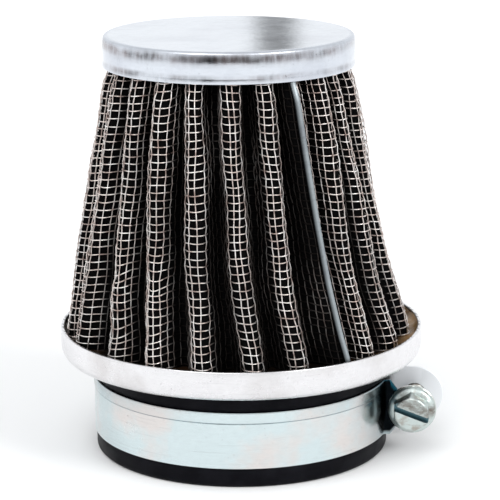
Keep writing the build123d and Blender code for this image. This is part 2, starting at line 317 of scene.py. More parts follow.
def cloth(s, z, inset):
    """Points and outward normals on the pleated cloth.

    s counts pleats from the seam's crest, z is the height in millimetres, and inset is
    the depth below the crests' surface.
    """
    s, z = np.broadcast_arrays(np.asarray(s, float), np.asarray(z, float))
    half = pi / PLEATS
    outer, inner = station(z, 1), station(z, 2)
    crest_centre = outer - CREST_RADIUS
    valley_centre = inner + VALLEY_RADIUS + FOLD_DEPTH
    r1, r2 = CREST_RADIUS - inset, VALLEY_RADIUS + inset
    dx = valley_centre * cos(half) - crest_centre
    dy = valley_centre * sin(half)
    distance = np.hypot(dx, dy)
    side = np.arctan2(dy, dx) - np.arccos((r1 + r2) / distance)
    flank = np.sqrt(distance**2 - (r1 + r2) ** 2)
    first, last = r1 * side, r2 * (side - half)
    crest = np.round(s)
    fraction = s - crest
    t = np.abs(fraction) * 2 * (first + flank + last)
    turn = np.where(t < first, t / r1, side)
    turn = np.where(t > first + flank, side - (t - first - flank) / r2, turn)
    run = np.clip(t - first, 0, flank)
    x = crest_centre + r1 * np.cos(turn) - run * np.sin(side)
    y = r1 * np.sin(turn) + run * np.cos(side)
    in_valley = t > first + flank
    x = np.where(in_valley, valley_centre * cos(half) - r2 * np.cos(turn), x)
    y = np.where(in_valley, valley_centre * sin(half) - r2 * np.sin(turn), y)
    mirror = np.where(fraction < 0, -1.0, 1.0)
    normal = np.stack([np.cos(turn), mirror * np.sin(turn)], -1)
    flat = np.stack([x, mirror * y], -1) + normal * wobble(s, z)[..., None]
    azimuth = SEAM_AZIMUTH + crest * 2 * half + TWIST_PER_MM * (TWIST_MIDDLE - z)
    azimuth = azimuth + lean(s, z)
    c, sn = np.cos(azimuth), np.sin(azimuth)
    point = np.stack([
        flat[..., 0] * c - flat[..., 1] * sn + station(z, 3),
        flat[..., 0] * sn + flat[..., 1] * c,
        z,
    ], -1)
    outward = np.stack([
        normal[..., 0] * c - normal[..., 1] * sn,
        normal[..., 0] * sn + normal[..., 1] * c,
        np.zeros_like(z),
    ], -1)
    return point, outward


def store(piece, name, values):
    """Keep one number per point of a mesh for its material to read."""
    made = piece.data.attributes.new(name, "FLOAT", "POINT")
    made.data.foreach_set("value", np.ascontiguousarray(values, dtype=np.float32))


def tubes(centre, normal, radius, sides):
    """Sweep round tubes along wires: arrays of wires by points by xyz."""
    tangent = np.gradient(centre, axis=1)
    tangent /= np.linalg.norm(tangent, axis=2, keepdims=True)
    side = np.cross(tangent, normal)
    side /= np.linalg.norm(side, axis=2, keepdims=True)
    up = np.cross(side, tangent)
    angles = 2 * pi * np.arange(sides) / sides
    ring = centre[:, :, None, :] + radius * (
        np.cos(angles)[:, None] * up[:, :, None, :]
        + np.sin(angles)[:, None] * side[:, :, None, :]
    )
    wires, count = centre.shape[:2]
    index = np.arange(wires * count * sides).reshape(wires, count, sides)
    a, b = index[:, :-1], index[:, 1:]
    quads = np.stack([a, np.roll(a, -1, 2), np.roll(b, -1, 2), b], -1)
    return ring.reshape(-1, 3), quads.reshape(-1, 4)


def join(parts):
    """Join (points, quads) pairs into one pair."""
    points, quads, start = [], [], 0
    for p, q in parts:
        points.append(p)
        quads.append(q + start)
        start += len(p)
    return np.concatenate(points), np.concatenate(quads)


def woven(name, per_pleat, pitch, radius, inset, sectors, sides, gap):
    """Weave one wire cloth: upright wires and rows cross over and under each other.

    It is made in sectors, and the rows stop a gap short of the first and last wire, in
    wires, where the seam strip covers them.
    """
    count = per_pleat * PLEATS
    low, high = potting_top - 0.9, STATIONS[-1, 0] + 0.4
    rows = int((high - low) / pitch)
    row_z = low + (np.arange(rows) + 0.5) * pitch
    wire_s = (np.arange(count) + 0.5) / per_pleat
    wire_shift = rng.normal(0, 0.010, count)
    row_shift = rng.normal(0, 0.05, rows)

    def place(i, j):
        """Where wire i (may be fractional) meets row j (may be fractional)."""
        s = np.interp(i, np.arange(count), wire_s + wire_shift)
        z = np.interp(j, np.arange(rows), row_z + row_shift)
        around = 2 * pi * s / PLEATS
        s = s + 0.012 * np.sin(z / 6.1 + 7 * around) + 0.008 * np.sin(z / 2.7 + 17 * around)
        z = z + 0.24 * np.sin(6 * around + z / 14.0) + 0.12 * np.sin(19 * around - z / 8.0)
        z = z + 0.12 * np.sin(2 * pi * (s - 0.2)) + 0.06 * np.sin(61 * around + z / 5.0)
        for where, height, depth in DENTS:
            away = ((from_seam(s) - where) / 0.2) ** 2 + ((z - height) / 2.4) ** 2
            z = z - 2.4 * depth * np.exp(-away)
        return s, z

    pieces = []
    for k in range(sectors):
        start, end = k * count // sectors, (k + 1) * count // sectors
        # upright wires
        i = np.arange(start, end)[:, None]
        j = np.linspace(0, rows - 1, 2 * rows - 1)[None, :]
        s, z = place(i, j)
        point, normal = cloth(s, z, inset)
        over = np.cos(pi * (i + j)) * radius
        upright = tubes(point + normal * over[..., None], normal, radius, sides)
        # painted shade for the wires, a little stronger on the rows than on the upright wires
        painted_shade = [np.repeat(np.clip(0.93 * shade(s, z) + 0.05, 0, 1).ravel(), sides)]
        # rows
        first = start - 0.5 if k else -0.5 + gap
        last = end - 0.5 if k < sectors - 1 else end - 0.5 - gap
        i = np.concatenate([[first], np.arange(start, end - 0.75, 0.5), [last]])[None, :]
        j = np.arange(rows)[:, None]
        s, z = place(i, j)
        s = np.where(i < 0, wire_s[0] + i / per_pleat, s)
        s = np.where(i > count - 1, wire_s[-1] + (i - count + 1) / per_pleat, s)
        point, normal = cloth(s, z, inset)
        over = -np.cos(pi * (i + j)) * radius
        row = tubes(point + normal * over[..., None], normal, radius, sides)
        painted_shade.append(np.repeat(np.clip(1.15 * shade(s, z), 0, 1).ravel(), sides))
        piece = quad_mesh(f"{name}_{k + 1}", *join([upright, row]))
        store(piece, "shade", np.concatenate(painted_shade))
        pieces.append(piece)
    return pieces


def cloth_sheet(name, outside, inside, per_pleat, steps):
    """A closed pleated sheet between two depths below the crests' surface."""
    s = np.linspace(0.02, PLEATS - 0.02, per_pleat * PLEATS + 1)
    z = np.linspace(potting_top - 0.5, STATIONS[-1, 0] + 0.2, steps)
    s, z = np.meshgrid(s, z, indexing="ij")
    front, _ = cloth(s, z, outside)
    back, _ = cloth(s, z, inside)
    rows, columns = s.shape
    section = np.concatenate([front, back[:, ::-1]], axis=1)
    points = section.reshape(-1, 3)
    faces = grid_faces(rows, 2 * columns, wrap_columns=True)
    faces.append(tuple(range(2 * columns)))
    last = (rows - 1) * 2 * columns
    faces.append(tuple(range(last + 2 * columns - 1, last - 1, -1)))
    return make_mesh(name, points, faces, sharp=60)


# ------------------------------------------------------------------------ materials
class Paint:
    """A node material with one Principled shader, built up step by step."""

    def __init__(self, name, colour, metallic=0.0, roughness=0.5, **sockets):
        self.material = bpy.data.materials.new(name)
        self.material.use_nodes = True
        self.tree = self.material.node_tree
        self.shader = self.tree.nodes["Principled BSDF"]
        self.set(self.shader, "Base Color", (*colour, 1))
        self.set(self.shader, "Metallic", metallic)
        self.set(self.shader, "Roughness", roughness)
        for socket, value in sockets.items():
            self.set(self.shader, socket.replace("_", " "), value)
        self.height = None
        self.where = None

    def node(self, kind, **inputs):
        made = self.tree.nodes.new(kind)
        for socket, value in inputs.items():
            self.set(made, socket.replace("_", " "), value)
        return made

    def set(self, node, socket, value):
        target = node.inputs[socket]
        if isinstance(value, bpy.types.NodeSocket):
            self.tree.links.new(value, target)
        else:
            target.default_value = value

    def place(self, stretch=(1, 1, 1)):
        """Coordinates in metres, stretched: the object's own, or those a mesh has stored."""
        if self.where:
            stored = self.node("ShaderNodeAttribute")
            stored.attribute_name = self.where
            where = stored.outputs["Vector"]
        else:
            where = self.node("ShaderNodeTexCoord").outputs["Object"]
        mapping = self.node("ShaderNodeMapping", Vector=where)
        mapping.inputs["Scale"].default_value = stretch
        return mapping.outputs["Vector"]

    def stored(self, name):
        """A number that each point of the mesh keeps."""
        made = self.node("ShaderNodeAttribute")
        made.attribute_name = name
        return made.outputs["Fac"]

    def so_far(self, socket):
        """What feeds a socket of the shader now."""
        return self.shader.inputs[socket].links[0].from_socket

    def noise(self, scale, detail=4.0, rough=0.55, stretch=(1, 1, 1)):
        made = self.node(
            "ShaderNodeTexNoise",
            Vector=self.place(stretch), Scale=scale, Detail=detail, Roughness=rough,
        )
        return made.outputs["Fac"]

    def ramp(self, value, *stops):
        """Map a value through stops of (position, grey or colour)."""
        made = self.node("ShaderNodeValToRGB", Fac=value)
        elements = made.color_ramp.elements
        while len(elements) < len(stops):
            elements.new(0.5)
        for element, (position, colour) in zip(elements, stops):
            element.position = position
            if not isinstance(colour, tuple):
                colour = (colour, colour, colour)
            element.color = (*colour, 1)
        return made.outputs["Color"]

    def mix(self, factor, first, second, blend="MIX"):
        made = self.node("ShaderNodeMix")
        made.data_type = "RGBA"
        made.blend_type = blend
        for index, value in ((0, factor), (6, first), (7, second)):
            socket = made.inputs[index]
            if isinstance(value, bpy.types.NodeSocket):
                self.tree.links.new(value, socket)
            elif isinstance(value, tuple):
                socket.default_value = (*value, 1)
            else:
                socket.default_value = value
        return made.outputs[2]

    def colour(self, value):
        self.set(self.shader, "Base Color", value)

    def rough(self, value):
        self.set(self.shader, "Roughness", value)

    def bump(self, value, distance, strength=1.0):
        """Add a bump of this height in metres on top of the earlier ones."""
        made = self.node("ShaderNodeBump", Height=value, Distance=distance, Strength=strength)
        if self.height is not None:
            self.set(made, "Normal", self.height)
        self.height = made.outputs["Normal"]
        self.set(self.shader, "Normal", self.height)


def plated_paint(
    name, colour, overlay_colour, rough_low, rough_high, stain_from,
    scale=60.0, where=None, drawn=(0.06, 0.06, 2.4),
):
    """Bright plated sheet metal: faint stains, drawn scratches and uneven gloss.

    stain_from is the noise level where stains start, scale their fineness, where the
    mesh's stored coordinates if it has them, and drawn the way the scratches stretch.
    """
    p = Paint(name, colour, metallic=1.0, roughness=rough_low)
    p.where = where
    blotch = p.noise(scale, 5.0, 0.6)
    fine = p.noise(1100.0, 3.0, 0.6, (0.6, 0.6, 2.0))
    mask = p.ramp(blotch, (stain_from, 0.0), (stain_from + 0.16, 1.0))
    base = p.mix(mask, colour, overlay_colour)
    grain = p.ramp(fine, (0.35, 0.94), (0.7, 1.0))
    base = p.mix(1.0, base, grain, "MULTIPLY")
    # thin dark scratches
    scratch = p.noise(900.0, 1.0, 0.5, drawn)
    line = p.ramp(scratch, (0.66, 1.0), (0.74, 0.91))
    base = p.mix(1.0, base, line, "MULTIPLY")
    # specks of dirt
    speck = p.ramp(p.noise(1600.0, 2.0), (0.70, 1.0), (0.78, 0.55))
    base = p.mix(1.0, base, speck, "MULTIPLY")
    p.colour(base)
    p.rough(p.ramp(p.noise(140.0, 4.0), (0.3, rough_low), (0.75, rough_high)))
    p.bump(fine, 0.000008)
    p.bump(p.noise(35.0, 2.0), 0.0001)
    return p


def stain_and_shade(p, base, overlay_colour, name="shade"):
    """Lay a colour over another where the mesh's stored numbers say so: real stains, painted shade
    and painted light alike.
    """
    amount = p.stored(name)
    return p.mix(amount, base, overlay_colour), amount


def wire_paint():
    """Drawn wire, warm and uneven, with painted shade that turns it black down in the folds."""
    p = Paint("wire", (0.6, 0.56, 0.53), metallic=1.0, roughness=0.33)
    dull = p.noise(420.0, 4.0)
    tint = p.ramp(
        dull,
        (0.34, (0.42, 0.32, 0.285)), (0.47, (0.82, 0.72, 0.67)), (0.62, (1.0, 0.96, 0.93)),
    )
    # painted shade: near black and rougher where the stored shade is high
    tint, painted_shade = stain_and_shade(p, tint, (0.012, 0.010, 0.009))
    p.colour(tint)
    shine = p.ramp(p.noise(900.0, 2.0), (0.3, 0.22), (0.7, 0.42))
    p.rough(p.mix(painted_shade, shine, (0.6, 0.6, 0.6)))
    p.bump(p.noise(4000.0, 2.0), 0.00001)
    return p.material


def media_paint():
    """Matt black fibre."""
    p = Paint("media", (0.002, 0.002, 0.002), roughness=0.97)
    fibre = p.noise(2500.0, 6.0, 0.7)
    p.colour(p.ramp(fibre, (0.3, (0.0010, 0.0010, 0.0013)), (0.85, (0.006, 0.0055, 0.0055))))
    p.bump(fibre, 0.00012)
    p.set(p.shader, "Specular IOR Level", 0.03)
    return p.material


def rubber_paint():
    """Smooth black rubber with a little dust."""
    p = Paint("rubber", (0.005, 0.005, 0.007), roughness=0.4)
    dust = p.noise(160.0, 6.0, 0.65)
    p.colour(p.ramp(dust, (0.4, (0.0020, 0.0020, 0.0035)), (0.8, (0.008, 0.008, 0.011))))
    p.rough(p.ramp(p.noise(300.0, 4.0), (0.3, 0.36), (0.75, 0.55)))
    p.bump(p.noise(1500.0, 4.0), 0.00002)
    p.set(p.shader, "Specular IOR Level", 0.06)
    return p.material


def adhesive_paint():
    """Dark cast adhesive that turns amber where it is thin."""
    p = Paint("adhesive", (0.05, 0.03, 0.015), roughness=0.32)
    tone = p.noise(150.0, 5.0)
    base = p.ramp(
        tone,
        (0.48, (0.006, 0.004, 0.003)), (0.62, (0.03, 0.014, 0.006)), (0.74, (0.40, 0.22, 0.08)),
    )
    base, _ = stain_and_shade(p, base, (0.44, 0.25, 0.09))
    p.colour(base)
    p.bump(p.noise(400.0, 4.0), 0.0003)
    p.set(p.shader, "Specular IOR Level", 0.3)
    return p.material


def assign(piece, material, body="filter", replaces=()):
    """Give a piece its material, its body, and the nodes it stands for."""
    piece.data.materials.clear()
    piece.data.materials.append(material)
    if body:
        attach(piece, body)
    if replaces:
        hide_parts(*replaces)


def cap_paint():
    """The cap's bright plate, with brown-black blotches on its upper and lower rim, strongest at
    the front: part tarnish, part painted reflection.
    """
    p = plated_paint(
        "cap_plate", (0.70, 0.735, 0.79), (0.62, 0.65, 0.71), 0.08, 0.15, 0.50,
        drawn=(0.15, 1.6, 0.6),
    )
    base = p.so_far("Base Color")
    blotch = p.noise(95.0, 3.0, 0.5, (1, 1, 1.6))
    streak = p.noise(1100.0, 2.0, 0.5, (1, 1, 0.12))
    amount = p.ramp(blotch, (0.38, 0.0), (0.52, 1.0))
    amount = p.mix(0.3, amount, p.ramp(p.noise(45.0, 2.0), (0.4, 0.2), (0.6, 1.0)))
    amount = p.mix(1.0, amount, p.ramp(streak, (0.3, 0.55), (0.6, 1.0)), "MULTIPLY")
    # the blotches: part tarnish, part painted reflection of dark surroundings
    amount = p.mix(1.0, amount, p.stored("shade"), "MULTIPLY")
    tone = p.ramp(p.noise(130.0, 2.0), (0.42, (0.03, 0.018, 0.016)), (0.6, (0.20, 0.16, 0.16)))
    p.colour(p.mix(amount, base, tone))
    gloss = p.so_far("Roughness")
    p.rough(p.mix(p.stored("satin"), gloss, (0.34, 0.34, 0.34)))
    return p.material


def pan_paint():
    """The pan's satin plate, with painted shade darkening the inside of its rim."""
    p = plated_paint("pan_plate", (0.82, 0.81, 0.82), (0.70, 0.68, 0.68), 0.20, 0.34, 0.52)
    base = p.so_far("Base Color")
    # painted shade, near black, inside the rim
    base, _ = stain_and_shade(p, base, (0.02, 0.014, 0.010))
    p.colour(base)
    return p.material


def ring_paint():
    """The retaining ring's dull plate."""
    p = plated_paint(
        "ring_plate", (0.62, 0.62, 0.63), (0.45, 0.42, 0.40), 0.25, 0.4, 0.5, scale=200.0
    )
    return p.material


def fixing_paint():
    """The zinc of the washer, the nut and the screw's thread, with brown tarnish."""
    p = plated_paint(
        "zinc_fixing", (0.62, 0.66, 0.63), (0.33, 0.27, 0.23), 0.16, 0.36, 0.47, scale=420.0
    )
    return p.material


def zinc_paint():
    """The clamp strip's zinc: faint cyan with pinkish patches, with painted teal shade towards the
    front ear, a painted black front ear face, and the rear ear painted paler.
    """
    p = plated_paint(
        "zinc_strip", (0.66, 0.755, 0.77), (0.74, 0.70, 0.68), 0.16, 0.3, 0.48,
        scale=55.0, where="rest",
    )
    base = p.so_far("Base Color")
    # painted shade and reflection in teal: towards the front ear, under the pan and in the bead's
    # groove
    base, _ = stain_and_shade(p, base, (0.010, 0.080, 0.115), "painted_teal_shade")
    # painted shade: the front ear's outer face near black
    base, _ = stain_and_shade(p, base, (0.003, 0.004, 0.005), "shade")
    # painted light: the rear ear paler and less metallic, with a real satin finish in its
    # roughness
    base, satin = stain_and_shade(p, base, (0.89, 0.91, 0.935), "satin")
    p.colour(base)
    gloss = p.so_far("Roughness")
    p.rough(p.mix(satin, gloss, (0.5, 0.5, 0.5)))
    p.set(p.shader, "Metallic", p.mix(satin, (1.0, 1.0, 1.0), (0.12, 0.12, 0.12)))
    return p.material


def strip_paint():
    """The seam strip: grey drawn metal, with painted shade down its left fold."""
    p = plated_paint(
        "strip", (0.33, 0.365, 0.38), (0.24, 0.26, 0.28), 0.34, 0.48, 0.5, scale=120.0
    )
    base = p.so_far("Base Color")
    # painted shade laid on the strip's left half
    base, _ = stain_and_shade(p, base, (0.006, 0.006, 0.007))
    p.colour(base)
    return p.material


def screw_paint():
    """The screw's zinc: greenish grey with brown tarnish, with painted shade down in the slot."""
    p = plated_paint(
        "zinc_screw", (0.60, 0.67, 0.65), (0.42, 0.40, 0.36), 0.30, 0.46, 0.50, scale=420.0
    )
    base = p.so_far("Base Color")
    blotch = p.noise(500.0, 5.0, 0.65, (1, 1, 1.6))
    amount = p.ramp(blotch, (0.36, 0.0), (0.54, 1.0))
    amount = p.mix(1.0, amount, p.stored("satin"), "MULTIPLY")
    base = p.mix(amount, base, (0.15, 0.12, 0.10))
    # painted shade down in the slot
    base, _ = stain_and_shade(p, base, (0.085, 0.16, 0.185))
    p.colour(base)
    return p.material


cap_metal = cap_paint()
pan_metal = pan_paint()
ring_metal = ring_paint()
fixing = fixing_paint()
zinc = zinc_paint()
strip_metal = strip_paint()
screw_metal = screw_paint()
wire = wire_paint()
media = media_paint()
rubber = rubber_paint()
adhesive = adhesive_paint()

# ---------------------------------------------------------------------- cloth and seam
outer_weave = woven(
    "outer_weave", per_pleat=10, pitch=1.68, radius=0.128, inset=WIRE_INSET,
    sectors=4, sides=6, gap=0.28,
)
for part in outer_weave:
    assign(part, wire, replaces=["outer_mesh"])
inner_weave = woven(
    "inner_weave", per_pleat=7, pitch=2.3, radius=0.2, inset=1.95,
    sectors=2, sides=5, gap=0.3,
)
for part in inner_weave:
    assign(part, wire, replaces=["inner_mesh"])
black = cloth_sheet("media_cloth", outside=0.84, inside=1.66, per_pleat=24, steps=34)
assign(black, media, replaces=["filter_media"])


def seam():
    """The folded strip that runs down the seam's crest, with a shallow middle groove."""
    heights = np.linspace(potting_top - 0.3, STATIONS[-1, 0], 60)
    outline = [
        (-0.62, -0.5), (-0.30, -0.62), (0.02, -0.74), (0.14, -0.77), (0.24, -0.68),
        (0.27, -0.5), (0.22, -0.15), (0.26, 0.15), (0.28, 0.5), (0.24, 0.68), (0.14, 0.77),
        (0.02, 0.74), (-0.30, 0.62), (-0.62, 0.5),
    ]
    rows = []
    for z in heights:
        point, normal = cloth(0.0, z, 0.0)
        side = np.array([-normal[1], normal[0], 0.0])
        for out, across in outline:
            rows.append(point + normal * out + side * across)
    faces = grid_faces(len(heights), len(outline), wrap_columns=True)
    faces.append(tuple(range(len(outline) - 1, -1, -1)))
    last = (len(heights) - 1) * len(outline)
    faces.append(tuple(range(last, last + len(outline))))
    piece = make_mesh("seam_fold", rows, faces, sharp=50)
    # painted shade: the strip's left half dark, its right edge light
    painted_shade = [1.0, 1.0, 0.98, 0.95, 0.85, 0.65, 0.35, 0.0, 0.0, 0.1, 0.2, 0.4, 0.9, 1.0]
    store(piece, "shade", np.tile(painted_shade, len(heights)))
    return piece


assign(seam(), strip_metal, replaces=["seam_strip"])

# -------------------------------------------------------------------------- cap and pan
cap_corner = 1.1
cap_profile = [(0.02, cap_top - 0.10), (12.0, cap_top - 0.06), (22.0, cap_top - 0.03)]
cap_profile += [(cap_radius - 1.6, cap_top)]
cap_profile += arc((cap_radius - 0.24 - 0.8, cap_top - 0.8), 0.8, 90, 9, 10)
cap_profile += [
    (cap_radius - 0.19, cap_top - 1.2),
    (cap_radius - 0.12, cap_top - 1.7),
    (cap_radius - 0.06, cap_top - 2.2),
    (cap_radius - 0.02, cap_top - 2.9),
    (cap_radius, cap_top - 3.8),
    (cap_radius - 0.01, cap_bottom + 2.2),
    (cap_radius - 0.03, cap_bottom + 1.9),
    (cap_radius - 0.09, cap_bottom + 1.75),
    (cap_radius - 0.11, cap_bottom + 1.5),
    (cap_radius - 0.06, cap_bottom + 1.0),
    (cap_radius, cap_bottom + 0.5),
    (cap_radius, cap_bottom + 0.15),
    (cap_radius - 0.05, cap_bottom + 0.03),
    (cap_radius - 0.35, cap_bottom),
    (cap_radius - 0.75, cap_bottom + 0.05),
    (cap_radius - SHEET, cap_bottom + 0.3),
    (cap_radius - SHEET, cap_top - cap_corner),
    (cap_radius - cap_corner - 0.1, cap_top - SHEET),
    (0.02, cap_top - SHEET - 0.05),
]
cap = lathe("cap_shell", cap_profile, cap_x, sharp=50)
points = points_of(cap)
height = points[:, 2]
# where the rim is painted darker: a band under the top edge and one near the bottom, strongest at
# the front; part tarnish, part painted reflection
upper = np.clip(1.3 - np.abs(height - (cap_top - 1.6)) / 1.2, 0, 1)
lower = np.clip(1.3 - np.abs(height - (cap_bottom + 1.1)) / 0.8, 0, 1)
on_wall = np.hypot(points[:, 0] - cap_x, points[:, 1]) > cap_radius - 1.1
round_front = np.cos(np.arctan2(points[:, 1], points[:, 0] - cap_x) + radians(102))
in_shade = np.clip(0.55 + 0.5 * round_front, 0, 1)
store(cap, "shade", np.maximum(upper, 0.75 * lower) * on_wall * in_shade)
store(cap, "satin", np.clip(1.4 - np.abs(height - (cap_top - 0.5)) / 0.7, 0, 1) * on_wall)
assign(cap, cap_metal, replaces=["top_cap"])
assign(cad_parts["top_potting"], adhesive, body=None)

hole = 33.0
pan_corner = 2.8
corner_middle = (pan_radius - pan_corner, pan_bottom + pan_corner)
pan_profile = [(hole, pan_bottom), (36.0, pan_bottom)]
pan_profile += arc(corner_middle, pan_corner, -90, 0, 14)
pan_profile += [(pan_radius, pan_bottom + 4.6), (pan_radius, pan_top - 0.18)]
pan_profile += arc((pan_radius - 0.2, pan_top - 0.2), 0.2, 20, 90, 4)
pan_profile += arc((pan_radius - SHEET + 0.2, pan_top - 0.2), 0.2, 90, 180, 4)
pan_profile += [(pan_radius - SHEET, pan_bottom + pan_corner + 0.1)]
pan_profile += arc(corner_middle, pan_corner - SHEET, 0, -90, 8)
pan_profile += [(hole, pan_bottom + SHEET)]
pan = lathe("pan_dish", pan_profile, sharp=50)
points = points_of(pan)
# painted shade on the pan's inside wall, under the cloth
inside = np.hypot(points[:, 0], points[:, 1]) < pan_radius - 0.6
store(pan, "shade", 0.85 * inside * (points[:, 2] > pan_bottom + 1.0))
assign(pan, pan_metal, replaces=["base_pan"])


def poured(points):
    """Unevenness of the adhesive's upper surface."""
    x, y, z = points[:, 0], points[:, 1], points[:, 2]
    angle = np.arctan2(y, x)
    top = z > potting_top - 0.45
    swell = 0.16 * np.sin(9 * angle + 1.0) + 0.12 * np.sin(23 * angle)
    swell += 0.1 * np.sin(41 * angle + 2)
    climb = np.clip((np.hypot(x, y) - 40.3) / 0.8, 0, 1) * np.clip(np.cos(angle - 0.4) + 0.2, 0, 1)
    points[:, 2] = np.where(top, z + swell + 0.9 * climb, z)
    return points


floor_of_pan = pan_bottom + SHEET
poured_profile = [(36.6, floor_of_pan + 0.02), (38.4, floor_of_pan + 0.02)]
poured_profile += [(40.4, floor_of_pan + 0.9), (pan_radius - SHEET - 0.02, floor_of_pan + 2.1)]
poured_profile += [(pan_radius - SHEET - 0.02, potting_top + 0.25)]
poured_profile += [
    (pan_radius - SHEET - 0.25, potting_top + 0.05),
    (pan_radius - SHEET - 0.7, potting_top - 0.2),
    (pan_radius - SHEET - 1.6, potting_top - 0.35),
    (37.0, potting_top - 0.4),
    (34.0, potting_top - 0.4),
    (31.6, potting_top - 0.3),
    (31.0, potting_top - 0.45),
    (30.8, potting_top - 0.8),
    (30.8, 25.6),
    (36.6, 25.6),
]
glue = lathe("poured_adhesive", poured_profile, sharp=50, warp=poured)
points = points_of(glue)
radius, angle = np.hypot(points[:, 0], points[:, 1]), np.arctan2(points[:, 1], points[:, 0])
amber = np.clip((radius - 38.5) / 1.5, 0, 1) * np.clip(np.cos(angle - 0.4) + 0.2, 0, 1)
store(glue, "shade", amber * (0.75 + 0.25 * np.sin(19 * angle)))
assign(glue, adhesive, replaces=["base_potting"])
assign(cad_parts["retaining_ring"], ring_metal, body=None)

# ------------------------------------------------------------------------- rubber neck
lip, groove, bore = 34.1, 33.6, 30.0
neck_profile = [(bore, 0.5)]
neck_profile += arc((bore + 0.5, 0.5), 0.5, 180, 270, 4)
neck_profile += [(32.0, 0.0)]
neck_profile += arc((lip - 1.1, 1.1), 1.1, -90, 0, 8)
neck_profile += [(lip, 3.2), (lip, 3.95), (lip - 0.15, 4.2), (groove, 4.25)]
neck_profile += [(groove, 17.7), (lip - 0.15, 17.72), (lip, 17.95), (lip, 20.0)]
neck_profile += [(lip, pan_bottom - 0.15), (lip - 0.1, pan_bottom)]
neck_profile += [(hole, pan_bottom), (hole, floor_of_pan)]
neck_profile += [(36.3, floor_of_pan), (36.5, floor_of_pan + 0.2), (36.5, 24.6), (36.3, 24.75)]
neck_profile += [(bore + 0.3, 24.75), (bore, 24.45), (bore, 12.0)]
neck = lathe("neck_sleeve", neck_profile, sharp=45)
assign(neck, rubber, replaces=["rubber_neck"])


# --------------------------------------------------------------------------- clamp band
def ear_half_height(x, full):
    """Half the front ear's height at this distance out: a taper that meets a round tip."""
    from_middle = x - SCREW_DISTANCE
    if x <= TAPER_FROM:
        return full
    if x < TAPER_TO:
        straight = full + (TAPER_LOW - full) * (x - TAPER_FROM) / (TAPER_TO - TAPER_FROM)
    else:
        straight = TAPER_LOW if from_middle < 0 else 0
    return max(straight, sqrt(max(FRONT_TIP**2 - from_middle**2, 0.0)))


def band_path():
    """Stations along the strip: x, y, outward way, half height, bead, half thickness."""
    full = (band_top - band_bottom) / 2
    middle = (BAND_INNER + BAND_OUTER) / 2
    path = []
    front_y = -(EAR_INNER + EAR_THICK / 2)
    bend = 1.4
    root_x = sqrt((middle + bend) ** 2 - (front_y - bend) ** 2)
    tip_x = SCREW_DISTANCE + (FRONT_TIP - 0.005) * np.sin(np.linspace(pi / 2, 0.05, 14))
    for x in np.concatenate([tip_x, np.linspace(SCREW_DISTANCE, root_x, 26)]):
        half = ear_half_height(x, full)
        path.append((x, front_y, (0.0, -1.0), half, 0.0, EAR_THICK / 2))
    centre = np.array([root_x, front_y - bend])
    stop = np.arctan2(-centre[1], -centre[0])
    for a in np.linspace(pi / 2, stop, 9)[1:-1]:
        d = np.array([cos(a), sin(a)])
        p = centre + bend * d
        blend = (a - pi / 2) / (stop - pi / 2)
        path.append((p[0], p[1], tuple(-d), full, blend, 0.4 - 0.12 * blend))
    start_angle = np.arctan2(centre[1], centre[0])
    rear_y = EAR_INNER + EAR_THICK / 2
    rear_bend = 2.4
    rear_root = sqrt((middle + rear_bend) ** 2 - (rear_y + rear_bend) ** 2)
    rear_centre = np.array([rear_root, rear_y + rear_bend])
    end_angle = np.arctan2(rear_centre[1], rear_centre[0]) - 2 * pi
    for a in np.linspace(start_angle, end_angle, 200):
        d = np.array([cos(a), sin(a)])
        p = middle * d
        path.append((p[0], p[1], tuple(d), full, 1.0, 0.275))
    stop = np.arctan2(-rear_centre[1], -rear_centre[0])
    for a in np.linspace(stop, -pi / 2, 12)[1:-1]:
        d = np.array([cos(a), sin(a)])
        p = rear_centre + rear_bend * d
        blend = (-pi / 2 - a) / (-pi / 2 - stop)
        path.append((p[0], p[1], tuple(-d), full, blend, 0.4 - 0.12 * blend))
    tip_x = SCREW_DISTANCE + (full - 0.005) * np.sin(np.linspace(0.06, pi / 2, 20))
    for x in np.concatenate([np.linspace(rear_root, SCREW_DISTANCE, 20), tip_x]):
        half = full if x < SCREW_DISTANCE else sqrt(max(full**2 - (x - SCREW_DISTANCE) ** 2, 0.0))
        path.append((x, rear_y, (0.0, 1.0), half, 0.0, EAR_THICK / 2))
    return path


